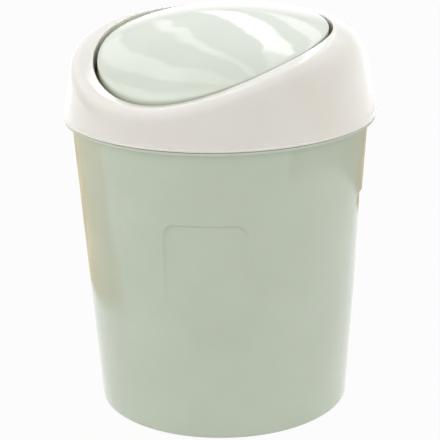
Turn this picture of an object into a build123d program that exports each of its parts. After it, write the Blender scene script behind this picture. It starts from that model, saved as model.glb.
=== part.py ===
from build123d import *
from math import cos, sin, tan, sqrt, radians
import os

# Countertop trash can with a swing lid: a tapered bucket, a collar with a slanted round opening,
# and a domed flap that hangs in the opening on two pins and is held closed by a steel rod.
# Millimetres, +Z up. The origin is the centre of the base. The low side of the opening faces -Y,
# and the flap's pivot axis is parallel to X.

# ---- Driving dimensions: bucket ----
base_radius = 65.4
wall_draft = 3.95            # degrees from upright
bucket_wall = 1.8
floor_thickness = 2.0
base_edge_round = 1.8
foot_ring_width = 6.0
foot_recess = 1.2
bucket_height = 153.2        # up to the top of the rim flange
flange_overhang = 3.32       # beyond the wall
flange_thickness = 1.5
flange_round = 0.5
neck_height = 5.2
neck_wall = 1.8

panel_count = 4
panel_first_angle = 31.0     # degrees from -Y towards +X
panel_width = 42.0
panel_below_rim = 37.8       # from the top of the rim flange to the top of the recess
panel_length = 53.4          # from there down to where the recess fades out
panel_depth = 1.2            # at its top edge
panel_corner_radius = 6.5

# ---- Driving dimensions: lid ring ----
ring_wall = 2.0
skirt_overhang = 0.3         # of the skirt's bottom edge beyond the rim flange
ring_draft = 10.0            # degrees from upright
shoulder_radius = 20.4
shoulder_start = 28.4        # height above the bottom edge where the shoulder begins
bead_proud = 0.4             # beyond the skirt's bottom edge
bead_height = 1.4
bead_blend = 2.6
neck_clearance = 0.3

collar_width = 19.5          # from the skirt's bottom edge in to the opening, seen from above
opening_offset = 4.9         # the opening's centre lies this far towards the low side
lip_round = 0.8
lip_flange_wall = 1.8
lip_flange_depth = 10.0
roll_low = 8.0               # size of the rolled outer edge at the low side
roll_high = 3.0              # and at the high side
least_roll = 0.6
least_land = 0.2             # level land between the lip and the roll, and between other edges
lip_below_shoulder = 0.05    # at the high side the lip stays this far below the shoulder's top

# ---- Driving dimensions: crown, the surface on which the lip and the flap lie ----
crown_above_shoulder = 4.24      # over the bucket's axis
crown_slope = 0.126          # rise per millimetre towards the high side
crown_bend_along = 1.8136    # radius along the slope, in radii of the opening
crown_bend_across = 3.7388   # radius parallel to the pivot axis, in radii of the opening
crown_twist_share = 0.0598   # cubic term: the crown flattens towards the high side

# ---- Driving dimensions: flap, pivot and weight ----
flap_gap = 2.3
flap_wall = 1.8
flap_skirt_depth = 7.2
flap_edge_round = 1.0
flap_proud = 0.33            # height of the flap's middle above the crown
flap_tilt = 0.57             # degrees by which the flap slopes more than the crown
flap_bend_across = 2.983     # radius parallel to the pivot axis, in radii of the opening

pivot_drop = 5.8             # pivot axis below the lip
pin_radius = 2.0
pin_head_radius = 3.0
pin_head_length = 1.2
pin_running_clearance = 0.08
pin_press_clearance = 0.01
pin_end_clearance = 0.5
ear_wall = 1.6               # round the pin's bore
ear_length = 5.2
boss_radius = 3.4
boss_length = 5.0            # inwards from the skirt's inner face
side_play = 0.5              # between the boss and the lip flange

rod_radius = 3.0
rod_length = 64.0
rod_chamfer = 0.4
rod_drop = 13.0              # rod axis below the pivot axis
rod_offset = -0.16           # rod axis from the pivot axis, towards the high side
rod_clearance = 0.02
leg_spacing = 44.0
leg_width = 5.0
leg_length = 9.0
clip_wall = 1.6
clip_mouth = 4.6

margin = 5.0                 # how far cutting tools run past what they cut
ring_steps = 12              # sections of the lid ring in each half
wall_steps = 8               # points of the wall in each section


def bucket_radius(z):
    """Outer radius of the bucket's wall at a height."""
    return base_radius + z * tan(radians(wall_draft))


# ---- Derived sizes ----
flange_radius = bucket_radius(bucket_height) + flange_overhang
panel_top = bucket_height - panel_below_rim
panel_fade_height = panel_top - panel_length
ring_skirt_radius = flange_radius + skirt_overhang
bead_radius = ring_skirt_radius + bead_proud
skirt_slope = tan(radians(ring_draft))
neck_top_radius = ring_skirt_radius - skirt_slope * neck_height
neck_outer_radius = neck_top_radius - ring_wall / cos(radians(ring_draft)) - neck_clearance
opening_radius = ring_skirt_radius - collar_width
opening_y = -opening_offset
flap_radius = opening_radius - flap_gap
crown_radius_along = crown_bend_along * opening_radius
crown_radius_across = crown_bend_across * opening_radius
crown_twist = crown_twist_share / opening_radius ** 2
flap_radius_across = flap_bend_across * opening_radius
shoulder_z = bucket_height + shoulder_start
shoulder_start_radius = ring_skirt_radius - skirt_slope * shoulder_start
shoulder_centre_r = shoulder_start_radius - shoulder_radius * cos(radians(ring_draft))
shoulder_centre_z = shoulder_z - shoulder_radius * sin(radians(ring_draft))
crown_top = shoulder_centre_z + shoulder_radius + crown_above_shoulder


def crown_along(y, slope=crown_slope):
    """Height of the crown over the point (0, y)."""
    rise = slope * y - y * y / (2 * crown_radius_along) + crown_twist * y ** 3
    return crown_top + rise


def crown_across(x, radius=crown_radius_across):
    """Height of the crown at a distance x from its middle line, measured from that line."""
    return -x * x / (2 * radius)


def crown_z(x, y):
    """Height of the crown over any point."""
    return crown_along(y) + crown_across(x)


lip_z_at_pivot = crown_z(opening_radius, opening_y)
pivot_z = lip_z_at_pivot - pivot_drop
ear_radius = pin_radius + pin_running_clearance + ear_wall


# ---- Bucket ----
def panel_tool(inset):
    """Cuts one panel's recess; with an inset, the matching step on the inside of the wall."""
    slope = (bucket_radius(panel_top) - panel_depth - bucket_radius(panel_fade_height)) / panel_length
    low, high = panel_fade_height - 2 * margin, panel_top + inset
    face_low = bucket_radius(panel_fade_height) + slope * (low - panel_fade_height) - inset
    face_high = bucket_radius(panel_fade_height) + slope * (high - panel_fade_height) - inset
    outer = bucket_radius(high) + margin
    band = Polyline((face_low, low), (outer, low), (outer, high), (face_high, high), close=True)
    band = revolve(Plane.XZ * make_face(band), Axis.Z)
    width, height = panel_width + 2 * inset, high - low
    outline = RectangleRounded(width, height, panel_corner_radius)
    outline = Plane.XZ * Pos(0, (low + high) / 2) * outline
    return band & extrude(outline, 2 * outer)


def tapered_blank(low, high, inset):
    """The bucket's tapered form from one height to another, with its panels, moved inwards."""
    profile = Polyline(
        (0, low),
        (bucket_radius(low) - inset, low),
        (bucket_radius(high) - inset, high),
        (0, high),
        close=True,
    )
    blank = revolve(Plane.XZ * make_face(profile), Axis.Z)
    for i in range(panel_count):
        blank -= Rot(0, 0, panel_first_angle + i * 360 / panel_count) * panel_tool(inset)
    return blank


def make_bucket():
    flange_bottom = bucket_height - flange_thickness
    body = tapered_blank(0, bucket_height, 0)
    body = fillet(body.edges().group_by(Axis.Z)[0], base_edge_round)
    flange = Pos(0, 0, flange_bottom) * Cylinder(
        flange_radius, flange_thickness, align=(Align.CENTER, Align.CENTER, Align.MIN)
    )
    flange = fillet(flange.edges().filter_by(GeomType.CIRCLE), flange_round)
    neck = Pos(0, 0, flange_bottom) * Cylinder(
        neck_outer_radius, flange_thickness + neck_height, align=(Align.CENTER, Align.CENTER, Align.MIN)
    )
    body = body + flange + neck
    body -= tapered_blank(floor_thickness + foot_recess, bucket_height, bucket_wall)
    body -= Pos(0, 0, flange_bottom) * Cylinder(
        neck_outer_radius - neck_wall, neck_height + margin, align=(Align.CENTER, Align.CENTER, Align.MIN)
    )
    body -= Cylinder(base_radius - foot_ring_width, 2 * foot_recess)
    return body


# ---- Lid ring ----
def ring_profile_radius(z, inset):
    """Radius of the collar's outer form at a height: a drafted skirt and a round shoulder."""
    if z <= shoulder_centre_z + (shoulder_radius - inset) * sin(radians(ring_draft)):
        return ring_skirt_radius - skirt_slope * (z - bucket_height) - inset / cos(radians(ring_draft))
    rise = min(z - shoulder_centre_z, shoulder_radius - inset)
    return shoulder_centre_r + sqrt((shoulder_radius - inset) ** 2 - rise ** 2)


def lip_height(angle):
    """Height of the opening's lip at an angle from the low side, never above the shoulder's top."""
    x = opening_radius * sin(radians(angle))
    y = opening_y - opening_radius * cos(radians(angle))
    return min(crown_z(x, y), shoulder_centre_z + shoulder_radius - lip_below_shoulder)


def from_opening_axis(radius, angle):
    """Distance from the opening's axis, at an angle, of a point at a radius from the bucket's axis."""
    along = opening_offset * cos(radians(angle))
    return sqrt(along ** 2 + radius ** 2 - opening_offset ** 2) - along


def skin_points(angle, inset, top, bottom, start, roll):
    """Roll and wall of the collar's outer (inset 0) or inner skin in one vertical section.

    The roll starts level at the height top and blends into the wall, which runs down to the bottom;
    start is the least distance from the opening's axis at which the roll may begin.
    """
    corner = max(from_opening_axis(ring_profile_radius(top, inset), angle), start + least_roll)
    roll = max(least_roll, min(roll, corner - start, top - bottom - least_roll))
    low = top - roll
    wall = from_opening_axis(ring_profile_radius(low, inset), angle)
    curve = [(corner - roll, top), (corner, top), (wall, low)]
    heights = [low + (bottom - low) * i / wall_steps for i in range(wall_steps + 1)]
    return curve, [(from_opening_axis(ring_profile_radius(h, inset), angle), h) for h in heights]


def ring_section(angle):
    """Closed section of the collar in the vertical plane at an angle round the opening's axis."""
    lip_z = lip_height(angle)
    flange_z = lip_z - lip_flange_depth
    low_end, high_end = lip_height(0), lip_height(180)
    share = (high_end - lip_z) / (high_end - low_end)
    roll = roll_high + (roll_low - roll_high) * share ** 2

    lip_start = opening_radius + lip_round + least_land
    under_start = opening_radius + lip_flange_wall + least_land
    bead_top = bucket_height + bead_height
    seat_top = bucket_height + neck_height + neck_clearance
    outer_roll, outer_wall = skin_points(angle, 0, lip_z, bead_top + bead_blend, lip_start, roll)
    inner_round = roll - ring_wall / 2
    inner_roll, inner_wall = skin_points(
        angle, ring_wall, lip_z - ring_wall, seat_top, under_start, inner_round
    )
    bead = from_opening_axis(bead_radius, angle)
    seat = from_opening_axis(neck_outer_radius + neck_clearance, angle)

    def place(point):
        return Vector(
            point[0] * sin(radians(angle)), opening_y - point[0] * cos(radians(angle)), point[1]
        )

    foot = (opening_radius, flange_z)
    lip_low = (opening_radius, lip_z - lip_round)
    lip_corner = (opening_radius, lip_z)
    lip_top = (opening_radius + lip_round, lip_z)
    under = (opening_radius + lip_flange_wall, lip_z - ring_wall)
    heel = (opening_radius + lip_flange_wall, flange_z)
    edges = [
        Line(place(foot), place(lip_low)),
        Bezier(place(lip_low), place(lip_corner), place(lip_top)),
        Line(place(lip_top), place(outer_roll[0])),
        Bezier(*[place(p) for p in outer_roll]),
        Spline(*[place(p) for p in outer_wall]),
        Line(place(outer_wall[-1]), place((bead, bead_top))),
        Line(place((bead, bead_top)), place((bead, bucket_height))),
        Line(place((bead, bucket_height)), place((seat, bucket_height))),
        Line(place((seat, bucket_height)), place((seat, seat_top))),
        Line(place((seat, seat_top)), place(inner_wall[-1])),
        Spline(*[place(p) for p in reversed(inner_wall)]),
        Bezier(*[place(p) for p in reversed(inner_roll)]),
        Line(place(inner_roll[0]), place(under)),
        Line(place(under), place(heel)),
        Line(place(heel), place(foot)),
    ]
    return Face(Wire(edges))


def pivot_cylinder(radius, start, end):
    """Cylinder along the pivot axis on the +X side, between two distances from the middle."""
    body = Cylinder(radius, end - start, align=(Align.CENTER, Align.CENTER, Align.MIN))
    return Pos(start, opening_y, pivot_z) * Rot(0, 90, 0) * body


def both_sides(body):
    return body + mirror(body, Plane.YZ)


def make_lid_ring():
    sections = [ring_section(180 * i / ring_steps) for i in range(ring_steps + 1)]
    half = loft(sections)
    ring = half + mirror(half, Plane.YZ)

    ear_root = opening_radius + lip_flange_wall / 2
    inside_ear = Pos(0, opening_y, pivot_z) * Cylinder(ear_root, 2 * (ear_radius + margin))
    ear = pivot_cylinder(ear_radius, opening_radius - margin, opening_radius + ear_length) - inside_ear
    bore_end = opening_radius + ear_length + least_land
    bore = pivot_cylinder(pin_radius + pin_running_clearance, opening_radius - margin, bore_end)
    ring += both_sides(ear)
    ring -= both_sides(bore)
    return ring


# ---- Swing flap ----
def crown_patch(lift):
    """The flap's top as one smooth surface over the whole opening, raised by a distance."""
    tilt = tan(radians(flap_tilt))
    slope = crown_slope + tilt
    level = flap_proud + lift - tilt * opening_y
    reach = opening_radius + margin
    y_low, y_high = opening_y - reach, opening_y + reach

    def slope_at(y):
        return slope - y / crown_radius_along + 3 * crown_twist * y * y

    third = (y_high - y_low) / 3
    z_low, z_high = crown_along(y_low, slope), crown_along(y_high, slope)
    along = [z_low, z_low + slope_at(y_low) * third, z_high - slope_at(y_high) * third, z_high]
    edge = crown_across(reach, flap_radius_across)
    across = [edge, edge + reach * reach / flap_radius_across, edge]
    grid = [
        [Vector(x, y_low + i * third, along[i] + drop + level) for i in range(4)]
        for x, drop in zip((-reach, 0, reach), across)
    ]
    return Face.make_bezier_surface(grid)


def under_crown(radius, top, depth):
    """Round slab below the crown: its top is the crown raised by top, its bottom depth lower."""
    slab = extrude(crown_patch(top), depth, dir=(0, 0, -1))
    return slab & Pos(0, opening_y, pivot_z) * Cylinder(radius, 2 * pivot_z)


def make_swing_flap():
    flap = under_crown(flap_radius, 0, flap_skirt_depth)
    rim = flap.edges().filter_by(lambda edge: edge.geom_type != GeomType.LINE)
    top_rim = rim.sort_by(lambda edge: edge.length)[-2:]
    flap = fillet(top_rim, flap_edge_round)
    flap -= under_crown(flap_radius - flap_wall, -flap_wall, flap_skirt_depth + margin)

    inner_face = flap_radius - flap_wall
    boss = pivot_cylinder(boss_radius, inner_face - boss_length, opening_radius - side_play)
    bore_start = inner_face - boss_length - margin
    bore = pivot_cylinder(pin_radius + pin_press_clearance, bore_start, opening_radius)
    flap += both_sides(boss)

    rod_y, rod_z = opening_y + rod_offset, pivot_z - rod_drop
    leg_top = crown_z(leg_spacing / 2, opening_y)
    outer_clip = rod_radius + rod_clearance + clip_wall
    leg = Pos(0, rod_y, (leg_top + rod_z) / 2) * Box(leg_width, leg_length, leg_top - rod_z)
    clip = Pos(0, rod_y, rod_z) * Rot(0, 90, 0) * Cylinder(outer_clip, leg_width)
    seat = Cylinder(rod_radius + rod_clearance, leg_width + margin)
    seat = Pos(0, rod_y, rod_z) * Rot(0, 90, 0) * seat
    mouth = Pos(0, rod_y, rod_z - outer_clip) * Box(leg_width + margin, clip_mouth, 2 * outer_clip)
    leg = leg + clip - seat - mouth
    leg &= extrude(crown_patch(-flap_wall / 2), pivot_z, dir=(0, 0, -1))
    flap += both_sides(Pos(leg_spacing / 2, 0, 0) * leg)
    flap -= both_sides(bore)
    return flap


# ---- Pivot pins and counterweight ----
def make_pivot_pin():
    head_face = flap_radius - flap_wall - boss_length
    shaft = pivot_cylinder(pin_radius, head_face, opening_radius + ear_length - pin_end_clearance)
    head = pivot_cylinder(pin_head_radius, head_face - pin_head_length, head_face)
    return shaft + head


def make_counterweight():
    rod = Rot(0, 90, 0) * Cylinder(rod_radius, rod_length)
    rod = chamfer(rod.edges().filter_by(GeomType.CIRCLE), rod_chamfer)
    return Pos(0, opening_y + rod_offset, pivot_z - rod_drop) * rod


pivot_pin = make_pivot_pin()
nodes = {
    "bucket": make_bucket(),
    "lid_ring": make_lid_ring(),
    "swing_flap": make_swing_flap(),
    "pivot_pin_right": pivot_pin,
    "pivot_pin_left": mirror(pivot_pin, Plane.YZ),
    "counterweight": make_counterweight(),
}

os.makedirs("parts", exist_ok=True)
for name, solid in nodes.items():
    export_step(solid, f"parts/{name}.step")
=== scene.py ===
from math import acos, asin, atan2, cos, hypot, radians, sin, sqrt, tan

import bmesh
import bpy
from mathutils import Matrix, Vector


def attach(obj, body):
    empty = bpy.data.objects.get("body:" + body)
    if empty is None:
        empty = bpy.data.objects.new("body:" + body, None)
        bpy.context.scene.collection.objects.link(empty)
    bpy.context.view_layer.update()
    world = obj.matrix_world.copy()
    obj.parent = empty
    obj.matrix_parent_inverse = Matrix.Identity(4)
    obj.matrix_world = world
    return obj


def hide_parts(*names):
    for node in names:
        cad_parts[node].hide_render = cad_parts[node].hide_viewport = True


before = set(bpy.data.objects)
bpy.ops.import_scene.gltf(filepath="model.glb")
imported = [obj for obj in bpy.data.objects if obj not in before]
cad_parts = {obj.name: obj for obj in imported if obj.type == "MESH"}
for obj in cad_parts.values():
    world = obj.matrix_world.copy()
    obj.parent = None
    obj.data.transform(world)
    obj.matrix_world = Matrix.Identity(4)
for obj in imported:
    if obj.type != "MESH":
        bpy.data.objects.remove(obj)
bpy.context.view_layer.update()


# ---------------------------------------------------------------- bucket
# The bin itself: one tapered injection moulding in sage polypropylene with a rim flange,
# a neck for the collar and four shallow recessed panels that fade out downwards.
MM = 0.001
TURN = radians(360)
BASE_RADIUS = 65.4 * MM
WALL_DRAFT = radians(3.95)
BUCKET_WALL = 1.8 * MM
FOOT_RECESS = 1.2 * MM
FOOT_RING_WIDTH = 6.0 * MM
FLOOR_TOP = 3.2 * MM
BUCKET_HEIGHT = 153.2 * MM
FLANGE_RADIUS = 79.3 * MM
FLANGE_THICKNESS = 1.5 * MM
NECK_RADIUS = 76.35 * MM
NECK_WALL = 1.8 * MM
NECK_HEIGHT = 5.2 * MM
NECK_TOP = BUCKET_HEIGHT + NECK_HEIGHT
PANEL_COUNT = 4
PANEL_FIRST = radians(31.0)
PANEL_HALF_WIDTH = 21.0 * MM
PANEL_TOP = 115.4 * MM
PANEL_FADE = 62.0 * MM
PANEL_DEPTH = 1.2 * MM
PANEL_CORNER = 6.5 * MM
PANEL_EDGE = 1.1 * MM          # width of the rounded step round a panel
PANEL_LOW = 52.0 * MM          # where the recess's outline is closed, below its fade
SHARP_ANGLE = radians(34)      # a corner of the mesh that turns more than this stays crisp


def linear(code):
    """Linear RGBA of an sRGB hex colour."""
    parts = [int(code[i:i + 2], 16) / 255 for i in (1, 3, 5)]
    return [c / 12.92 if c <= 0.04045 else ((c + 0.055) / 1.055) ** 2.4 for c in parts] + [1.0]


def add_node(tree, kind, settings=(), inputs=(), links=(), stops=()):
    """Adds a node with its settings, socket values, incoming links (socket, node, output) and,
    on a colour ramp, its (position, colour) stops in rising order."""
    node = tree.nodes.new(kind)
    for key, value in dict(settings).items():
        setattr(node, key, value)
    for key, value in dict(inputs).items():
        node.inputs[key].default_value = value
    for socket, source, output in links:
        tree.links.new(source.outputs[output], node.inputs[socket])
    if stops:
        elements = node.color_ramp.elements
        elements.remove(elements[1])
        elements[0].position, elements[0].color = stops[0]
        for position, colour in stops[1:]:
            elements.new(position).color = colour
    return node


def new_material(name):
    """An empty node material, and its tree, its surface shader and its object coordinates."""
    material = bpy.data.materials.new(name)
    material.use_nodes = True
    tree = material.node_tree
    shader = tree.nodes["Principled BSDF"]
    place = add_node(tree, "ShaderNodeTexCoord")
    return material, tree, shader, place


def finish_piece(bm, name, material, body, nodes):
    """Closes the seams, turns the faces outwards and makes the piece, riding on its body."""
    bmesh.ops.remove_doubles(bm, verts=bm.verts, dist=0.01 * MM)
    bmesh.ops.dissolve_degenerate(bm, edges=bm.edges, dist=0.002 * MM)
    bmesh.ops.recalc_face_normals(bm, faces=bm.faces)
    mesh = bpy.data.meshes.new(name)
    bm.to_mesh(mesh)
    bm.free()
    mesh.shade_smooth()
    mesh.set_sharp_from_angle(angle=SHARP_ANGLE)
    mesh.materials.append(material)
    piece = bpy.data.objects.new(name, mesh)
    bpy.context.scene.collection.objects.link(piece)
    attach(piece, body)
    if nodes:
        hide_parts(*nodes)
    return piece


def curve_points(a, b, c, count):
    """Points of the quadratic curve from a to c that leaves towards b."""
    return [
        tuple((1 - t) ** 2 * p + 2 * t * (1 - t) * q + t * t * r for p, q, r in zip(a, b, c))
        for t in (i / count for i in range(count + 1))
    ]


def chain(bm, corners):
    """An open profile in the XZ plane through (x, z, round, cuts) corners: each corner is rounded
    by its size, and the straight edge that leaves it gets that many cuts."""
    spots = [Vector((x, 0, z)) for x, z, _, _ in corners]
    end, straight = None, []
    for i, (_, _, size, cuts) in enumerate(corners):
        points = [spots[i]]
        if size:
            before = spots[i] + (spots[i - 1] - spots[i]).normalized() * size
            after = spots[i] + (spots[i + 1] - spots[i]).normalized() * size
            points = curve_points(before, spots[i], after, 5)
        for j, point in enumerate(points):
            vert = bm.verts.new(point)
            if end:
                edge = bm.edges.new((end, vert))
                if j == 0 and corners[i - 1][3]:
                    straight.append((edge, corners[i - 1][3]))
            end = vert
    for edge, cuts in straight:
        bmesh.ops.subdivide_edges(bm, edges=[edge], cuts=cuts)


def bucket_radius(z):
    return BASE_RADIUS + z * tan(WALL_DRAFT)


def wall_point(z, inset=0.0, size=0.0, cuts=0):
    return bucket_radius(z) - inset, z, size, cuts


FLANGE_LOW = BUCKET_HEIGHT - FLANGE_THICKNESS
# The rows are closest at the panels' top edges, and the steps round at their side edges.
FINE_LOW, FINE_HIGH = PANEL_TOP - 8 * MM, PANEL_TOP + 2 * MM
EDGE_START, EDGE_END = radians(11.8), radians(18.8)
bm = bmesh.new()
chain(bm, [
    (0, FOOT_RECESS, 0, 10),
    (BASE_RADIUS - FOOT_RING_WIDTH, FOOT_RECESS, 0.4 * MM, 0),
    (BASE_RADIUS - FOOT_RING_WIDTH, 0, 0.4 * MM, 2),
    wall_point(0, 0, 1.8 * MM, 0),
    wall_point(3.5 * MM, cuts=21),
    wall_point(PANEL_FADE, cuts=16),
    wall_point(FINE_LOW, cuts=24),
    wall_point(FINE_HIGH, cuts=12),
    wall_point(FLANGE_LOW - 2 * MM),
    wall_point(FLANGE_LOW, size=0.7 * MM),
    (FLANGE_RADIUS, FLANGE_LOW, 0.45 * MM, 0),
    (FLANGE_RADIUS, BUCKET_HEIGHT, 0.45 * MM, 0),
    (NECK_RADIUS, BUCKET_HEIGHT, 0.3 * MM, 2),
    (NECK_RADIUS, NECK_TOP, 0.5 * MM, 0),
    (NECK_RADIUS - NECK_WALL, NECK_TOP, 0.5 * MM, 2),
    (NECK_RADIUS - NECK_WALL, FLANGE_LOW, 0.2 * MM, 0),
    wall_point(FLANGE_LOW - 0.3 * MM, BUCKET_WALL, 0.2 * MM, 8),
    wall_point(FINE_HIGH, BUCKET_WALL, cuts=16),
    wall_point(FINE_LOW, BUCKET_WALL, cuts=12),
    wall_point(PANEL_FADE, BUCKET_WALL, cuts=14),
    wall_point(FLOOR_TOP + 4 * MM, BUCKET_WALL, cuts=0),
    wall_point(FLOOR_TOP, BUCKET_WALL, 2.0 * MM, 8),
    (0, FLOOR_TOP, 0, 0),
])
QUARTER = TURN / PANEL_COUNT
rotation = Matrix.Rotation(PANEL_FIRST - radians(90) + EDGE_START, 3, "Z")
bmesh.ops.rotate(bm, cent=(0, 0, 0), matrix=rotation, verts=bm.verts)
last = bm.verts[:] + bm.edges[:]
for angle, steps in (
    (EDGE_END - EDGE_START, 20),
    (QUARTER - 2 * EDGE_END, 24),
    (EDGE_END - EDGE_START, 20),
    (2 * EDGE_START, 12),
):
    made = bmesh.ops.spin(bm, geom=last, cent=(0, 0, 0), axis=(0, 0, 1), angle=angle, steps=steps)
    last = made["geom_last"]
quarter = bm.verts[:] + bm.edges[:] + bm.faces[:]
for i in range(1, PANEL_COUNT):
    turned = bmesh.ops.duplicate(bm, geom=quarter)["geom"]
    turned = [item for item in turned if isinstance(item, bmesh.types.BMVert)]
    bmesh.ops.rotate(bm, cent=(0, 0, 0), matrix=Matrix.Rotation(i * QUARTER, 3, "Z"), verts=turned)
bmesh.ops.remove_doubles(bm, verts=bm.verts, dist=0.01 * MM)


def smoothstep(low, high, value):
    share = min(1.0, max(0.0, (value - low) / (high - low)))
    return share * share * (3 - 2 * share)


def into_panel(x, z, grow):
    """Distance inside a panel's rounded outline, negative outside."""
    half_width, half_height = PANEL_HALF_WIDTH + grow, (PANEL_TOP + grow - PANEL_LOW) / 2
    dx = abs(x) - half_width + PANEL_CORNER
    dz = abs(z - (PANEL_LOW + half_height)) - half_height + PANEL_CORNER
    return PANEL_CORNER - hypot(max(dx, 0), max(dz, 0)) - min(max(dx, dz), 0)


for vert in bm.verts:
    x, y, z = vert.co
    radius = hypot(x, y)
    if not PANEL_FADE < z < FINE_HIGH:
        continue
    inner = radius < bucket_radius(z) - BUCKET_WALL / 2
    angle = (atan2(x, -y) - PANEL_FIRST + QUARTER / 2) % QUARTER - QUARTER / 2
    depth = PANEL_DEPTH * (z - PANEL_FADE) / (PANEL_TOP - PANEL_FADE)
    grow = BUCKET_WALL / 2 if inner else 0.0
    depth *= smoothstep(0, PANEL_EDGE, into_panel(radius * sin(angle), z, grow))
    vert.co.x -= x / radius * depth
    vert.co.y -= y / radius * depth

SAGE_DARK, SAGE_LIGHT = linear("#C3CCBA"), linear("#C8D1C0")
MOTTLE_SIZE = 35.7 * MM        # patches of pigment that didn't mix quite evenly
SINK_SIZE = 45.5 * MM          # slow waves where the plastic shrank
SPECK_SIZE = 1.11 * MM         # the polish of the mould, drawn coarser than it is so that it shows
sage, tree, shader, place = new_material("sage_moulded_polypropylene")
# Polypropylene from a polished mould, IOR 1.5 and roughness about 0.09: glossy, with a slightly
# wavy reflection, and a colour that drifts a little.
shader.inputs["IOR"].default_value = 1.5
mottle = add_node(tree, "ShaderNodeTexNoise", links=[("Vector", place, "Object")],
                  inputs={"Scale": 1 / MOTTLE_SIZE, "Detail": 4.0, "Roughness": 0.55})
speck = add_node(tree, "ShaderNodeTexNoise", inputs={"Scale": 1 / SPECK_SIZE, "Detail": 2.0},
                 links=[("Vector", place, "Object")])
colour = add_node(tree, "ShaderNodeValToRGB", links=[("Fac", mottle, "Fac")],
                  stops=[(0.3, SAGE_DARK), (0.7, SAGE_LIGHT)])
tree.links.new(colour.outputs["Color"], shader.inputs["Base Color"])
gloss = add_node(tree, "ShaderNodeMapRange", links=[("Value", speck, "Fac")],
                 inputs={"From Min": 0.3, "From Max": 0.7, "To Min": 0.07, "To Max": 0.11})
tree.links.new(gloss.outputs["Result"], shader.inputs["Roughness"])
sink = add_node(tree, "ShaderNodeTexNoise", inputs={"Scale": 1 / SINK_SIZE, "Detail": 1.0},
                links=[("Vector", place, "Object")])
wave_bump = add_node(tree, "ShaderNodeBump", inputs={"Strength": 0.25, "Distance": 0.0006},
                     links=[("Height", sink, "Fac")])
fine_bump = add_node(tree, "ShaderNodeBump", inputs={"Strength": 0.05, "Distance": 0.0001},
                     links=[("Height", speck, "Fac"), ("Normal", wave_bump, "Normal")])
tree.links.new(fine_bump.outputs["Normal"], shader.inputs["Normal"])
finish_piece(bm, "bucket_moulding", sage, "bin", ["bucket"])


# ---------------------------------------------------------------- collar
# The white collar: one polypropylene moulding with a drafted skirt, a round shoulder and a
# slanted round opening. Its skirt drops over the bucket's neck and rests on the rim flange.
RING_WALL = 2.0 * MM
SKIRT_RADIUS = 79.6 * MM
RING_DRAFT = radians(10.0)
SHOULDER_RADIUS = 20.4 * MM
SHOULDER_START = 28.4 * MM
BEAD_RADIUS = 80.0 * MM
BEAD_HEIGHT = 1.4 * MM
BEAD_BLEND = 2.6 * MM
BEAD_ROUND = 0.4 * MM
SEAM = 0.4 * MM               # open seam that shows between the collar and the rim flange
OPENING_RADIUS = 60.1 * MM
OPENING_Y = -4.9 * MM
LIP_ROUND = 0.8 * MM
LIP_WALL = 1.8 * MM
LIP_DEPTH = 10.0 * MM
LIP_CHAMFER = 0.3 * MM         # at the lip wall's lower edge
ROLL_LOW, ROLL_HIGH, ROLL_LEAST = 8.0 * MM, 3.0 * MM, 0.6 * MM
LAND = 0.2 * MM                # level strip between the lip's two rounds
CROWN_TOP = 202.7 * MM
CROWN_SLOPE = 0.126
CROWN_ALONG = 109.0 * MM
CROWN_ACROSS = 224.7 * MM
CROWN_TWIST = 16.56
SKIRT_SLOPE = tan(RING_DRAFT)
SHOULDER_CENTRE_R = SKIRT_RADIUS - SKIRT_SLOPE * SHOULDER_START - SHOULDER_RADIUS * cos(RING_DRAFT)
SHOULDER_CENTRE_Z = BUCKET_HEIGHT + SHOULDER_START - SHOULDER_RADIUS * sin(RING_DRAFT)
SEAT_GAP = 0.3 * MM
SEAT_RADIUS = NECK_RADIUS + SEAT_GAP
SEAT_TOP = NECK_TOP + SEAT_GAP


def crown(x, y, slope=CROWN_SLOPE, across=CROWN_ACROSS):
    """Height of the crown on which the lip lies."""
    lengthwise = slope * y - y * y / (2 * CROWN_ALONG) + CROWN_TWIST * y ** 3
    return CROWN_TOP + lengthwise - x * x / (2 * across)


def collar_radius(z, inset):
    """Radius of the collar's outer form at a height."""
    if z <= SHOULDER_CENTRE_Z + (SHOULDER_RADIUS - inset) * sin(RING_DRAFT):
        return SKIRT_RADIUS - SKIRT_SLOPE * (z - BUCKET_HEIGHT) - inset / cos(RING_DRAFT)
    rise = min(z - SHOULDER_CENTRE_Z, SHOULDER_RADIUS - inset)
    return SHOULDER_CENTRE_R + sqrt((SHOULDER_RADIUS - inset) ** 2 - rise ** 2)


def lip_height(angle):
    """Height of the lip at an angle from the low side."""
    height = crown(OPENING_RADIUS * sin(angle), OPENING_Y - OPENING_RADIUS * cos(angle))
    return min(height, SHOULDER_CENTRE_Z + SHOULDER_RADIUS - 0.05 * MM)


def from_opening(radius, angle):
    """Distance from the opening's axis of a point at a radius from the bucket's axis."""
    along = -OPENING_Y * cos(angle)
    return sqrt(along ** 2 + radius ** 2 - OPENING_Y ** 2) - along


def skin(angle, inset, top, bottom, start, roll, roll_cuts, wall_cuts):
    """Points of the collar's outer or inner skin from its level land down its wall."""
    corner = max(from_opening(collar_radius(top, inset), angle), start + ROLL_LEAST)
    roll = max(ROLL_LEAST, min(roll, corner - start))
    low = top - roll
    wall = from_opening(collar_radius(low, inset), angle)
    rolled = curve_points((corner - roll, top), (corner, top), (wall, low), roll_cuts)
    heights = [low + (bottom - low) * i / wall_cuts for i in range(1, wall_cuts + 1)]
    return rolled + [(from_opening(collar_radius(h, inset), angle), h) for h in heights]


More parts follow.
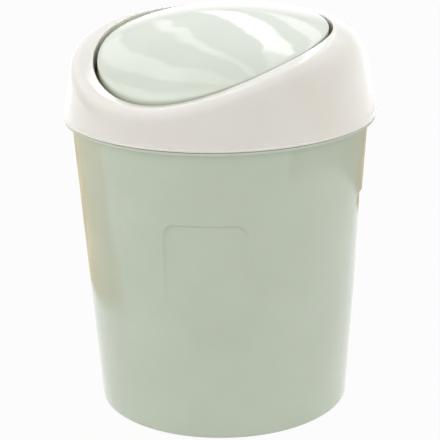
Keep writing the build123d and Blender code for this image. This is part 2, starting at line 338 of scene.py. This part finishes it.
def collar_section(angle):
    """The collar's closed section at an angle round the opening, as (distance, height) points."""
    lip = lip_height(angle)
    low_end, high_end = lip_height(0), lip_height(radians(180))
    share = (high_end - lip) / (high_end - low_end)
    roll = ROLL_HIGH + (ROLL_LOW - ROLL_HIGH) * share ** 2
    foot = lip - LIP_DEPTH
    inner_face, outer_face = OPENING_RADIUS, OPENING_RADIUS + LIP_WALL
    bead = from_opening(BEAD_RADIUS, angle)
    seat = from_opening(SEAT_RADIUS, angle)
    bead_top = BUCKET_HEIGHT + BEAD_HEIGHT
    points = [(inner_face, foot + (lip - LIP_ROUND - foot) * i / 5) for i in range(5)]
    land = inner_face + LIP_ROUND
    points += curve_points((inner_face, lip - LIP_ROUND), (inner_face, lip), (land, lip), 6)
    points += skin(angle, 0, lip, bead_top + BEAD_BLEND, land + LAND, roll, 14, 20)
    skirt = points[-1]
    low = BUCKET_HEIGHT + SEAM
    edge = bead - BEAD_ROUND
    points += curve_points(skirt, (skirt[0] + 0.1 * MM, bead_top), (edge, bead_top), 5)[1:]
    points += curve_points((edge, bead_top), (bead, bead_top), (bead, bead_top - BEAD_ROUND), 4)[1:]
    points += curve_points((bead, low + BEAD_ROUND), (bead, low), (edge, low), 4)
    points += [(seat, low), (seat, SEAT_TOP)]
    inner_roll = roll - RING_WALL / 2
    inner = skin(angle, RING_WALL, lip - RING_WALL, SEAT_TOP, outer_face + LAND, inner_roll, 8, 8)
    points += inner[::-1]
    points += [(outer_face, lip - RING_WALL), (outer_face, foot + LIP_CHAMFER)]
    return points + [(outer_face - LIP_CHAMFER, foot), (inner_face + LIP_CHAMFER, foot)]


COLLAR_STEPS = 216
bm = bmesh.new()
row = bm.verts.layers.int.new("row")
first = [bm.verts.new((distance, 0, height)) for distance, height in collar_section(0)]
for i, vert in enumerate(first):
    vert[row] = i
for i in range(len(first)):
    bm.edges.new((first[i - 1], first[i]))
bmesh.ops.spin(bm, geom=bm.verts[:] + bm.edges[:], cent=(0, 0, 0), axis=(0, 0, 1), angle=TURN,
               steps=COLLAR_STEPS, use_merge=True)
sections = {}
for vert in bm.verts:
    angle = atan2(vert.co.y, vert.co.x)
    step = round(angle / TURN * COLLAR_STEPS)
    if step not in sections:
        sections[step] = collar_section(step / COLLAR_STEPS * TURN)
    distance, height = sections[step][vert[row]]
    vert.co = (distance * sin(angle), OPENING_Y - distance * cos(angle), height)

WHITE_MOTTLE, WHITE_SINK, WHITE_SPECK = 33.3 * MM, 55.6 * MM, 1.25 * MM
white, tree, shader, place = new_material("white_moulded_polypropylene")
# White polypropylene from a finely blasted mould, IOR 1.5 and roughness about 0.13: a softer and
# weaker sheen than the sage parts have. A little light soaks in, which warms its shaded parts.
shader.inputs["IOR"].default_value = 1.5
shader.inputs["Specular IOR Level"].default_value = 0.32
shader.inputs["Subsurface Weight"].default_value = 0.3
shader.inputs["Subsurface Radius"].default_value = (1.0, 0.85, 0.6)
shader.inputs["Subsurface Scale"].default_value = 3.0 * MM
mottle = add_node(tree, "ShaderNodeTexNoise", inputs={"Scale": 1 / WHITE_MOTTLE, "Detail": 4.0},
                  links=[("Vector", place, "Object")])
speck = add_node(tree, "ShaderNodeTexNoise", inputs={"Scale": 1 / WHITE_SPECK, "Detail": 2.0},
                 links=[("Vector", place, "Object")])
colour = add_node(tree, "ShaderNodeValToRGB", links=[("Fac", mottle, "Fac")],
                  stops=[(0.3, linear("#E9E4DC")), (0.7, linear("#EDE9E1"))])
tree.links.new(colour.outputs["Color"], shader.inputs["Base Color"])
gloss = add_node(tree, "ShaderNodeMapRange", links=[("Value", speck, "Fac")],
                 inputs={"From Min": 0.3, "From Max": 0.7, "To Min": 0.1, "To Max": 0.16})
tree.links.new(gloss.outputs["Result"], shader.inputs["Roughness"])
sink = add_node(tree, "ShaderNodeTexNoise", inputs={"Scale": 1 / WHITE_SINK, "Detail": 1.0},
                links=[("Vector", place, "Object")])
wave_bump = add_node(tree, "ShaderNodeBump", inputs={"Strength": 0.2, "Distance": 0.0006},
                     links=[("Height", sink, "Fac")])
tree.links.new(wave_bump.outputs["Normal"], shader.inputs["Normal"])
finish_piece(bm, "collar_moulding", white, "lid", ["lid_ring"])


# ---------------------------------------------------------------- flap
# The swing flap: a domed polypropylene disc with a short skirt, which hangs in the collar's
# opening on two pins. It is moulded in the bucket's sage and has a mirror-smooth top.
FLAP_GAP = 1.9 * MM
FLAP_RADIUS = OPENING_RADIUS - FLAP_GAP
FLAP_WALL = 1.8 * MM
FLAP_SKIRT = 7.2 * MM
FLAP_ROUND = 0.8 * MM
FLAP_PROUD = 0.33 * MM
FLAP_TILT = tan(radians(0.57))
FLAP_ACROSS = 179.3 * MM
PIVOT_Z = 188.131 * MM


def flap_crown(x, y):
    """Height of the flap's top, which is steeper and more domed than the lip's crown."""
    return crown(x, y, CROWN_SLOPE + FLAP_TILT, FLAP_ACROSS) - FLAP_TILT * OPENING_Y + FLAP_PROUD


bm = bmesh.new()
chain(bm, [
    (0, 0, 0, 26),
    (FLAP_RADIUS, 0, FLAP_ROUND, 0),
    (FLAP_RADIUS, -FLAP_SKIRT, 0.4 * MM, 0),
    (FLAP_RADIUS - FLAP_WALL, -FLAP_SKIRT, 0.4 * MM, 4),
    (FLAP_RADIUS - FLAP_WALL, -FLAP_WALL, 0.6 * MM, 16),
    (0, -FLAP_WALL, 0, 0),
])
bmesh.ops.spin(bm, geom=bm.verts[:] + bm.edges[:], cent=(0, 0, 0), axis=(0, 0, 1), angle=TURN,
               steps=192, use_merge=True)
bmesh.ops.translate(bm, vec=(0, OPENING_Y, 0), verts=bm.verts)
for vert in bm.verts:
    vert.co.z += flap_crown(vert.co.x, vert.co.y)

FLAP_SINK = 62.5 * MM
sage_flap, tree, shader, place = new_material("sage_polished_polypropylene")
# The bucket's polypropylene from a mirror-polished mould, IOR 1.5 and roughness 0.02: it shows
# the room sharply, bent a little by slow waves.
shader.inputs["IOR"].default_value = 1.5
shader.inputs["Roughness"].default_value = 0.02
mottle = add_node(tree, "ShaderNodeTexNoise", inputs={"Scale": 1 / MOTTLE_SIZE, "Detail": 4.0},
                  links=[("Vector", place, "Object")])
colour = add_node(tree, "ShaderNodeValToRGB", links=[("Fac", mottle, "Fac")],
                  stops=[(0.3, SAGE_DARK), (0.7, SAGE_LIGHT)])
tree.links.new(colour.outputs["Color"], shader.inputs["Base Color"])
sink = add_node(tree, "ShaderNodeTexNoise", inputs={"Scale": 1 / FLAP_SINK, "Detail": 1.5},
                links=[("Vector", place, "Object")])
wave_bump = add_node(tree, "ShaderNodeBump", inputs={"Strength": 0.2, "Distance": 0.001},
                     links=[("Height", sink, "Fac")])
tree.links.new(wave_bump.outputs["Normal"], shader.inputs["Normal"])
finish_piece(bm, "swing_flap_moulding", sage_flap, "flap", ["swing_flap"])


# ---------------------------------------------------------------- flap bosses
# Two round bosses moulded on the flap's skirt, in the same polypropylene. Each runs in from the
# skirt and a little out of it, and holds one pivot pin in its bore.
PIN_RADIUS = 2.0 * MM
BOSS_RADIUS = 3.4 * MM
BOSS_INWARD = 5.0 * MM
BOSS_GAP = 0.5 * MM            # to the collar's lip
BOSS_START = FLAP_RADIUS - FLAP_WALL - BOSS_INWARD
BOSS_END = OPENING_RADIUS - BOSS_GAP
BOSS_BORE = PIN_RADIUS + 0.01 * MM
PIVOT = Vector((0, OPENING_Y, PIVOT_Z))


def turned_piece(name, side, corners, centre, material, nodes, body="flap"):
    """A piece spun round an axis parallel to X, from (distance along it, radius, round, cuts)
    corners."""
    bm = bmesh.new()
    chain(bm, [(side * along, radius, size, cuts) for along, radius, size, cuts in corners])
    bmesh.ops.spin(bm, geom=bm.verts[:] + bm.edges[:], cent=(0, 0, 0), axis=(1, 0, 0), angle=TURN,
                   steps=48, use_merge=True)
    bmesh.ops.translate(bm, vec=centre, verts=bm.verts)
    return finish_piece(bm, name, material, body, nodes)


def tube(start, end, bore, radius):
    """Corners of a tube's section, closed in the middle of its bore."""
    middle = (start + end) / 2
    return [
        (middle, bore, 0, 3),
        (end, bore, 0.2 * MM, 0),
        (end, radius, 0.4 * MM, 6),
        (start, radius, 0.4 * MM, 0),
        (start, bore, 0.2 * MM, 3),
        (middle, bore, 0, 0),
    ]


SIDES = {"right": 1, "left": -1}
for name, side in SIDES.items():
    corners = tube(BOSS_START, BOSS_END, BOSS_BORE, BOSS_RADIUS)
    turned_piece("flap_boss_" + name, side, corners, PIVOT, sage_flap, ["swing_flap"])


# ---------------------------------------------------------------- collar ears
# Behind the lip flange the collar has two round ears, moulded in one with it. Their bores are
# the bearings in which the flap's pins turn.
EAR_REACH = 5.2 * MM
EAR_WALL = 1.6 * MM
BEARING_GAP = 0.08 * MM
EAR_START = OPENING_RADIUS + LIP_WALL / 2
EAR_END = OPENING_RADIUS + EAR_REACH
EAR_BORE = PIN_RADIUS + BEARING_GAP
EAR_RADIUS = EAR_BORE + EAR_WALL
for name, side in SIDES.items():
    corners = tube(EAR_START, EAR_END, EAR_BORE, EAR_RADIUS)
    ear = "collar_ear_" + name
    turned_piece(ear, side, corners, PIVOT, white, ["lid_ring"], "lid")


# ---------------------------------------------------------------- pivot pins
# Two headed pins in natural white acetal, pressed into the flap's bosses from inside. Their
# shanks stand out through the gap and turn in the collar's ears.
HEAD_RADIUS = 3.0 * MM
HEAD_THICKNESS = 1.2 * MM
PIN_SHORT = 0.5 * MM           # how far the pin stops short of the ear's outer end
HEAD_START = BOSS_START - HEAD_THICKNESS
PIN_END = EAR_END - PIN_SHORT
CLOUD_SIZE, SATIN_SIZE = 6.25 * MM, 0.667 * MM
acetal, tree, shader, place = new_material("natural_acetal")
# Acetal copolymer, IOR 1.48 and roughness about 0.35: milky white with a waxy, satin look.
shader.inputs["IOR"].default_value = 1.48
cloud = add_node(tree, "ShaderNodeTexNoise", inputs={"Scale": 1 / CLOUD_SIZE, "Detail": 3.0},
                 links=[("Vector", place, "Object")])
colour = add_node(tree, "ShaderNodeValToRGB", links=[("Fac", cloud, "Fac")],
                  stops=[(0.3, linear("#E2E1DC")), (0.7, linear("#ECEBE6"))])
tree.links.new(colour.outputs["Color"], shader.inputs["Base Color"])
grain = add_node(tree, "ShaderNodeTexNoise", inputs={"Scale": 1 / SATIN_SIZE, "Detail": 2.0},
                 links=[("Vector", place, "Object")])
gloss = add_node(tree, "ShaderNodeMapRange", links=[("Value", grain, "Fac")],
                 inputs={"From Min": 0.3, "From Max": 0.7, "To Min": 0.3, "To Max": 0.42})
tree.links.new(gloss.outputs["Result"], shader.inputs["Roughness"])
satin = add_node(tree, "ShaderNodeBump", inputs={"Strength": 0.15, "Distance": 0.00005},
                 links=[("Height", grain, "Fac")])
tree.links.new(satin.outputs["Normal"], shader.inputs["Normal"])
for name, side in SIDES.items():
    corners = [
        (HEAD_START, 0, 0, 3),
        (HEAD_START, HEAD_RADIUS, 0.5 * MM, 0),
        (BOSS_START, HEAD_RADIUS, 0.15 * MM, 0),
        (BOSS_START, PIN_RADIUS, 0, 10),
        (PIN_END, PIN_RADIUS, 0.5 * MM, 2),
        (PIN_END, 0, 0, 0),
    ]
    node = "pivot_pin_" + name
    turned_piece(node + "_moulding", side, corners, PIVOT, acetal, [node])


# ---------------------------------------------------------------- clip legs
# Two legs moulded under the flap end in open clips. The counterweight rod snaps into them from
# below, which keeps the flap's weight under its pivot.
ROD_RADIUS = 3.0 * MM
ROD_BELOW = 13.0 * MM
ROD_FORWARD = 0.16 * MM        # towards the low side, so that the flap balances close to its rest
ROD = PIVOT + Vector((0, -ROD_FORWARD, -ROD_BELOW))
LEG_SPACING = 44.0 * MM
LEG_WIDTH = 5.0 * MM
LEG_HALF_LENGTH = 4.5 * MM
LEG_TOP = 20.0 * MM            # above the rod's axis, before it is fitted to the flap's underside
CLIP_INNER = ROD_RADIUS + 0.02 * MM
CLIP_OUTER = CLIP_INNER + 1.6 * MM
CLIP_HALF_MOUTH = 2.3 * MM


def arc(radius, start, end, count):
    """Points of an arc in the YZ plane about the rod's axis; angles from straight down."""
    steps = [start + (end - start) * i / count for i in range(count + 1)]
    return [(radius * sin(step), -radius * cos(step)) for step in steps]


outer_mouth = asin(CLIP_HALF_MOUTH / CLIP_OUTER)
inner_mouth = asin(CLIP_HALF_MOUTH / CLIP_INNER)
waist = TURN / 4 + acos(LEG_HALF_LENGTH / CLIP_OUTER)
outline = arc(CLIP_OUTER, outer_mouth, waist, 14)
outline += [(LEG_HALF_LENGTH, LEG_TOP), (-LEG_HALF_LENGTH, LEG_TOP)]
outline += arc(CLIP_OUTER, -waist, -outer_mouth, 14)
outline += arc(CLIP_INNER, -inner_mouth, inner_mouth - TURN, 24)
for name, side in SIDES.items():
    bm = bmesh.new()
    x = side * LEG_SPACING / 2 - LEG_WIDTH / 2
    cheek = bm.faces.new([bm.verts.new((x, ROD.y + y, ROD.z + z)) for y, z in outline])
    made = bmesh.ops.extrude_face_region(bm, geom=[cheek], use_keep_orig=True)["geom"]
    moved = [item for item in made if isinstance(item, bmesh.types.BMVert)]
    bmesh.ops.translate(bm, vec=(LEG_WIDTH, 0, 0), verts=moved)
    for vert in bm.verts:
        if vert.co.z > ROD.z + LEG_TOP / 2:
            vert.co.z = flap_crown(vert.co.x, vert.co.y) - FLAP_WALL * 0.6
    bmesh.ops.recalc_face_normals(bm, faces=bm.faces)
    cheeks = [edge for edge in bm.edges if edge.calc_face_angle(0) > radians(60)]
    bmesh.ops.bevel(bm, geom=cheeks, offset=0.25 * MM, segments=2, profile=0.5, affect="EDGES",
                    material=-1)
    finish_piece(bm, "clip_leg_" + name, sage_flap, "flap", ["swing_flap"])


# ---------------------------------------------------------------- counterweight
# A zinc-plated steel bar with chamfered ends, held by the two clips below the pivot. Its weight
# turns the flap back to closed.
ROD_HALF = 32.0 * MM
LINE_LENGTH, LINE_WIDTH = 83.3 * MM, 1.11 * MM
BLOOM_SIZE = 8.33 * MM
zinc, tree, shader, place = new_material("zinc_plated_steel")
# Bright zinc on drawn steel, roughness about 0.3: a grey metal with fine lines along the bar.
shader.inputs["Metallic"].default_value = 1.0
lengthwise = add_node(tree, "ShaderNodeMapping", links=[("Vector", place, "Object")],
                      inputs={"Scale": (1 / LINE_LENGTH, 1 / LINE_WIDTH, 1 / LINE_WIDTH)})
lines = add_node(tree, "ShaderNodeTexNoise", inputs={"Scale": 1.0, "Detail": 3.0},
                 links=[("Vector", lengthwise, 0)])
bloom = add_node(tree, "ShaderNodeTexNoise", inputs={"Scale": 1 / BLOOM_SIZE, "Detail": 3.0},
                 links=[("Vector", place, "Object")])
colour = add_node(tree, "ShaderNodeValToRGB", links=[("Fac", bloom, "Fac")],
                  stops=[(0.3, linear("#B4B7BB")), (0.7, linear("#C8CACC"))])
tree.links.new(colour.outputs["Color"], shader.inputs["Base Color"])
gloss = add_node(tree, "ShaderNodeMapRange", links=[("Value", lines, "Fac")],
                 inputs={"From Min": 0.3, "From Max": 0.7, "To Min": 0.22, "To Max": 0.38})
tree.links.new(gloss.outputs["Result"], shader.inputs["Roughness"])
drawn = add_node(tree, "ShaderNodeBump", inputs={"Strength": 0.2, "Distance": 0.00005},
                 links=[("Height", lines, "Fac")])
tree.links.new(drawn.outputs["Normal"], shader.inputs["Normal"])
rod_corners = [
    (-ROD_HALF, 0, 0, 3),
    (-ROD_HALF, ROD_RADIUS, 0.4 * MM, 24),
    (ROD_HALF, ROD_RADIUS, 0.4 * MM, 3),
    (ROD_HALF, 0, 0, 0),
]
turned_piece("counterweight_rod", 1, rod_corners, ROD, zinc, ["counterweight"])


# ---------------------------------------------------------------- lamps
# Two large softboxes on stands, one to the left of the can and one, at the window's side, to its
# right. They light the can and its table softly, and don't show in its gloss.
LAMP_AIM = Vector((0, 0, 0.1))
for name, size, power, spot in (
    ("side_softbox", (0.7, 1.0), 1.7, Vector((-0.85, -0.85, 0.65))),
    ("window_softbox", (0.7, 0.9), 1.2, Vector((0.8, 0.8, 0.35))),
):
    data = bpy.data.lights.new(name, "AREA")
    data.shape = "RECTANGLE"
    data.size, data.size_y = size
    data.energy = power
    lamp = bpy.data.objects.new(name, data)
    lamp.location = spot
    lamp.rotation_euler = (LAMP_AIM - spot).to_track_quat("-Z", "Y").to_euler()
    lamp.visible_glossy = False
    bpy.context.scene.collection.objects.link(lamp)


# ---------------------------------------------------------------- table
# A white sheet on a wooden table. Looked at directly, all of it is plain white with a faint
# shadow of the can. Only the gloss sees the wood, which lies behind and beside the sheet: it is a
# painted reflection that glows in the sheet for glossy rays only.
TABLE_RADIUS = 6.0
TABLE_DROP = 0.2 * MM
SHEET_CENTRE = Vector((0.095, 0.06, 0))
SHEET_EDGE = 0.27, 0.3         # distances from the sheet's centre
TABLE_END = 0.55, 0.75
ACROSS, WEDGE = (0.79, 0.61, 0), (-0.201, 0.261, 0)
PLANK_SIZE = 111.1 * MM
GLOW_SHARE = 0.94              # the rest of the white is lit, and carries the can's shadow
table_mesh = bpy.data.meshes.new("table_top")
bm = bmesh.new()
bmesh.ops.create_circle(bm, cap_ends=True, segments=96, radius=TABLE_RADIUS)
bm.to_mesh(table_mesh)
bm.free()
table = bpy.data.objects.new("table_top", table_mesh)
bpy.context.scene.collection.objects.link(table)
table.location.z = -TABLE_DROP

SMOOTH = {"interpolation_type": "SMOOTHSTEP"}

table_white, tree, shader, place = new_material("table_white")
# Matt cotton sheet: no gloss of its own.
shader.inputs["Base Color"].default_value = linear("#E2E2E0")
shader.inputs["Roughness"].default_value = 0.9
shader.inputs["Specular IOR Level"].default_value = 0.0
path = add_node(tree, "ShaderNodeLightPath")
split = add_node(tree, "ShaderNodeSeparateXYZ", links=[(0, place, "Object")])
from_sheet = add_node(tree, "ShaderNodeVectorMath", {"operation": "DISTANCE"}, {1: SHEET_CENTRE},
                      [(0, place, "Object")])

# Where the wood lies: past the sheet's edge, behind a slanted front line, no further than the
# table's end, and not in the wedge straight behind the can.
beyond = add_node(tree, "ShaderNodeMapRange", SMOOTH,
                  {"From Min": SHEET_EDGE[0], "From Max": SHEET_EDGE[1]},
                  [("Value", from_sheet, "Value")])
slant = add_node(tree, "ShaderNodeMath", {"operation": "MULTIPLY"}, {1: -0.25}, [(0, split, "X")])
behind = add_node(tree, "ShaderNodeMath", {"operation": "ADD"}, links=[(0, split, "Y"), (1, slant, 0)])
behind = add_node(tree, "ShaderNodeMapRange", SMOOTH, {"From Min": -0.135, "From Max": -0.095},
                  [("Value", behind, 0)])
table_end = add_node(tree, "ShaderNodeMapRange", SMOOTH,
                     {"From Min": TABLE_END[0], "From Max": TABLE_END[1], "To Min": 1.0, "To Max": 0.0},
                     [("Value", from_sheet, "Value")])
across = add_node(tree, "ShaderNodeVectorMath", {"operation": "DOT_PRODUCT"}, {1: ACROSS},
                  [(0, place, "Object")])
across = add_node(tree, "ShaderNodeMath", {"operation": "ABSOLUTE"}, links=[(0, across, "Value")])
wedge = add_node(tree, "ShaderNodeVectorMath", {"operation": "DOT_PRODUCT"}, {1: WEDGE},
                 [(0, place, "Object")])
outside = add_node(tree, "ShaderNodeMath", {"operation": "SUBTRACT"},
                   links=[(0, across, 0), (1, wedge, "Value")])
outside = add_node(tree, "ShaderNodeMapRange", SMOOTH, {"From Min": 0.06, "From Max": 0.08},
                   [("Value", outside, 0)])
wood_share = beyond
for limit in (behind, table_end, outside):
    wood_share = add_node(tree, "ShaderNodeMath", {"operation": "MULTIPLY"},
                          links=[(0, wood_share, 0), (1, limit, 0)])

# What the gloss mirrors is painted into the sheet's glow: the wood, darker to the right, and a
# sheet that is brighter far off.
grain = add_node(tree, "ShaderNodeTexNoise", inputs={"Scale": 1 / PLANK_SIZE, "Detail": 3.0},
                 links=[("Vector", place, "Object")])
wood = add_node(tree, "ShaderNodeValToRGB", links=[("Fac", grain, "Fac")],
                stops=[(0.3, linear("#C8A87C")), (0.7, linear("#FFDFB0"))])
dim = add_node(tree, "ShaderNodeMapRange", SMOOTH,
               {"From Min": -0.35, "From Max": 0.3, "To Min": 1.15, "To Max": 0.345},
               [("Value", split, "X")])
wood = add_node(tree, "ShaderNodeVectorMath", {"operation": "SCALE"},
                links=[(0, wood, 0), ("Scale", dim, 0)])
far_white = add_node(tree, "ShaderNodeMapRange", SMOOTH,
                     {"From Min": 0.7, "From Max": 1.0, "To Min": 1.25, "To Max": 1.9},
                     [("Value", from_sheet, "Value")])
painted_reflection = add_node(tree, "ShaderNodeMix", {"data_type": "RGBA"},
                    links=[("Factor", wood_share, 0), ("A", far_white, 0), ("B", wood, 0)])
painted_reflection = add_node(tree, "ShaderNodeMix", {"data_type": "RGBA"}, {"A": (1, 1, 1, 1)},
                    [("Factor", path, "Is Glossy Ray"), ("B", painted_reflection, "Result")])

# The sheet is lit as cloth, and most of it glows as well: white to the camera, and with the
# painted reflection to the gloss.
glow = add_node(tree, "ShaderNodeEmission", inputs={"Strength": 1.0},
                links=[("Color", painted_reflection, "Result")])
seen = add_node(tree, "ShaderNodeMath", {"operation": "MAXIMUM"},
                links=[(0, path, "Is Camera Ray"), (1, path, "Is Glossy Ray")])
seen = add_node(tree, "ShaderNodeMath", {"operation": "MULTIPLY"}, {1: GLOW_SHARE}, [(0, seen, 0)])
upper_side = add_node(tree, "ShaderNodeMixShader", links=[(0, seen, 0), (1, shader, 0), (2, glow, 0)])

# From underneath the table is clear, so that the can's foot can be looked at.
facing = add_node(tree, "ShaderNodeNewGeometry")
below = add_node(tree, "ShaderNodeMath", {"operation": "MULTIPLY"},
                 links=[(0, facing, "Backfacing"), (1, path, "Is Camera Ray")])
clear = add_node(tree, "ShaderNodeBsdfTransparent")
surface = add_node(tree, "ShaderNodeMixShader",
                   links=[(0, below, 0), (1, upper_side, 0), (2, clear, 0)])
tree.links.new(surface.outputs[0], tree.nodes["Material Output"].inputs["Surface"])
table_mesh.materials.append(table_white)


# ---------------------------------------------------------------- room
# A white room. It lights the can softly, about three times as strongly from the sides as from
# above, and the camera sees plain white. Only the gloss sees walls, and pale strips above them.
WALL_TOP = radians(13), radians(23)
STRIPS_TOP = radians(54), radians(60)
FAN_AT, FAN_CENTRE = radians(44), radians(4)
FAN_LOW, FAN_HIGH = radians(14), radians(54)
FAN_START, FAN_END = -1.6, 0.9
STRIP_EDGE = 0.04
SHADED, PALE, WINDOW = 0.7, 0.92, 1.2
WALL, DOORWAY, WHITE_WALL = linear("#F3F1ED"), linear("#B3B3AD"), linear("#FFFFFF")
CREAM, TAN_EDGE, TAN = linear("#F9F6F1"), linear("#E7D1C2"), linear("#E7CEBB")
WALL_STRENGTH = 1.85
world = bpy.data.worlds.new("white_room")
bpy.context.scene.world = world
world.use_nodes = True
tree = world.node_tree
path = add_node(tree, "ShaderNodeLightPath")
way = add_node(tree, "ShaderNodeTexCoord")
split = add_node(tree, "ShaderNodeSeparateXYZ", links=[(0, way, "Generated")])
turn = add_node(tree, "ShaderNodeMath", {"operation": "ARCTAN2"},
                links=[(0, split, "X"), (1, split, "Y")])
rise = add_node(tree, "ShaderNodeMath", {"operation": "ARCSINE"}, links=[(0, split, "Z")])

# The strips fan out from a point low at the left, with rippled edges: each keeps to a stretch of
# the ratio between the turn from that point and the rise above it. Only the gloss sees them, so
# they don't light the can. High up they are six to eight times white, to show in the plastic.
beside = add_node(tree, "ShaderNodeMath", {"operation": "ADD"}, {1: FAN_AT}, [(0, turn, 0)])
above = add_node(tree, "ShaderNodeMath", {"operation": "MAXIMUM"}, {1: FAN_LOW}, [(0, rise, 0)])
above = add_node(tree, "ShaderNodeMath", {"operation": "MINIMUM"}, {1: FAN_HIGH}, [(0, above, 0)])
above = add_node(tree, "ShaderNodeMath", {"operation": "SUBTRACT"}, {1: FAN_CENTRE}, [(0, above, 0)])
fan = add_node(tree, "ShaderNodeMath", {"operation": "DIVIDE"}, links=[(0, beside, 0), (1, above, 0)])
ripple = add_node(tree, "ShaderNodeTexNoise", inputs={"Scale": 4.5, "Detail": 7.0, "Roughness": 0.68},
                  links=[("Vector", way, "Generated")])
ripple = add_node(tree, "ShaderNodeMapRange", inputs={"To Min": -0.16, "To Max": 0.16},
                  links=[("Value", ripple, "Fac")])
fan = add_node(tree, "ShaderNodeMath", {"operation": "ADD"}, links=[(0, fan, 0), (1, ripple, 0)])
fan = add_node(tree, "ShaderNodeMapRange", inputs={"From Min": FAN_START, "From Max": FAN_END},
               links=[("Value", fan, 0)])
strip_stops = []
for start, end, level in (
    (-1.55, -1.23, PALE),
    (-0.99, -0.77, PALE),
    (-0.36, -0.27, PALE),
    (0.15, 0.36, WINDOW),
    (0.62, 0.85, PALE),
):
    outer_start, outer_end = start - STRIP_EDGE, end + STRIP_EDGE
    for at, value in ((outer_start, SHADED), (start, level), (end, level), (outer_end, SHADED)):
        strip_stops.append(((at - FAN_START) / (FAN_END - FAN_START), (value, value, value, 1)))
strips = add_node(tree, "ShaderNodeValToRGB", links=[("Fac", fan, 0)], stops=strip_stops)
ceiling = add_node(tree, "ShaderNodeMapRange", SMOOTH,
                   {"From Min": STRIPS_TOP[0], "From Max": STRIPS_TOP[1], "To Min": 1.3, "To Max": 0.85},
                   [("Value", rise, 0)])
strips = add_node(tree, "ShaderNodeMath", {"operation": "MINIMUM"},
                  links=[(0, strips, 0), (1, ceiling, 0)])
height = add_node(tree, "ShaderNodeMapRange", links=[("Value", rise, 0)],
                  inputs={"From Max": radians(56), "To Min": 0.7, "To Max": 6.8})
strips = add_node(tree, "ShaderNodeMath", {"operation": "MULTIPLY"},
                  links=[(0, strips, 0), (1, height, 0)])

# Walls round the room, from due -Y and back to it: a doorway, a white wall and a tan one.
round_room = add_node(tree, "ShaderNodeMapRange", inputs={"From Min": -TURN / 2, "From Max": TURN / 2},
                      links=[("Value", turn, 0)])
walls = add_node(tree, "ShaderNodeValToRGB", links=[("Fac", round_room, 0)], stops=[
    (0.0, WALL), (0.155, WALL), (0.18, DOORWAY), (0.228, DOORWAY), (0.25, WHITE_WALL),
    (0.54, WHITE_WALL), (0.59, CREAM), (0.61, TAN_EDGE), (0.7, TAN), (0.735, WALL)])
walls = add_node(tree, "ShaderNodeVectorMath", {"operation": "SCALE"}, {"Scale": WALL_STRENGTH},
                 [(0, walls, 0)])
up = add_node(tree, "ShaderNodeMapRange", SMOOTH, {"From Min": WALL_TOP[0], "From Max": WALL_TOP[1]},
              [("Value", rise, 0)])
in_gloss = add_node(tree, "ShaderNodeMix", {"data_type": "RGBA"},
                    links=[("Factor", up, 0), ("A", walls, 0), ("B", strips, 0)])

# The soft light, and plain white for the camera.
soft = add_node(tree, "ShaderNodeMapRange", SMOOTH,
                {"From Min": 0.0, "From Max": radians(60), "To Min": 1.4, "To Max": 0.42},
                [("Value", rise, 0)])
soft = add_node(tree, "ShaderNodeMath", {"operation": "MAXIMUM"},
                links=[(0, soft, 0), (1, path, "Is Camera Ray")])
room = add_node(tree, "ShaderNodeMix", {"data_type": "RGBA"},
                links=[("Factor", path, "Is Glossy Ray"), ("A", soft, 0), ("B", in_gloss, "Result")])
tree.links.new(room.outputs["Result"], tree.nodes["Background"].inputs["Color"])


# ---------------------------------------------------------------- camera
# It stands a little above the rim, turned towards the low side of the opening.
CAMERA_TURN, CAMERA_RISE, CAMERA_ROLL = radians(37.5), radians(18.52), radians(-1.0)
CAMERA_AIM = Vector((-0.0007, -0.0005, 0.0942))
CAMERA_REACH = 0.8344
camera_data = bpy.data.cameras.new("camera")
camera_data.lens, camera_data.sensor_width = 130.6, 36.0
camera = bpy.data.objects.new("camera", camera_data)
flat = cos(CAMERA_RISE)
outward = Vector((sin(CAMERA_TURN) * flat, -cos(CAMERA_TURN) * flat, sin(CAMERA_RISE)))
camera.rotation_mode = "QUATERNION"
turned = (-outward).to_track_quat("-Z", "Y")
camera.rotation_quaternion = turned @ Matrix.Rotation(CAMERA_ROLL, 3, "Z").to_quaternion()
camera.location = CAMERA_AIM + outward * CAMERA_REACH
bpy.context.scene.collection.objects.link(camera)
bpy.context.scene.camera = camera
bpy.context.scene.view_settings.view_transform = "Standard"
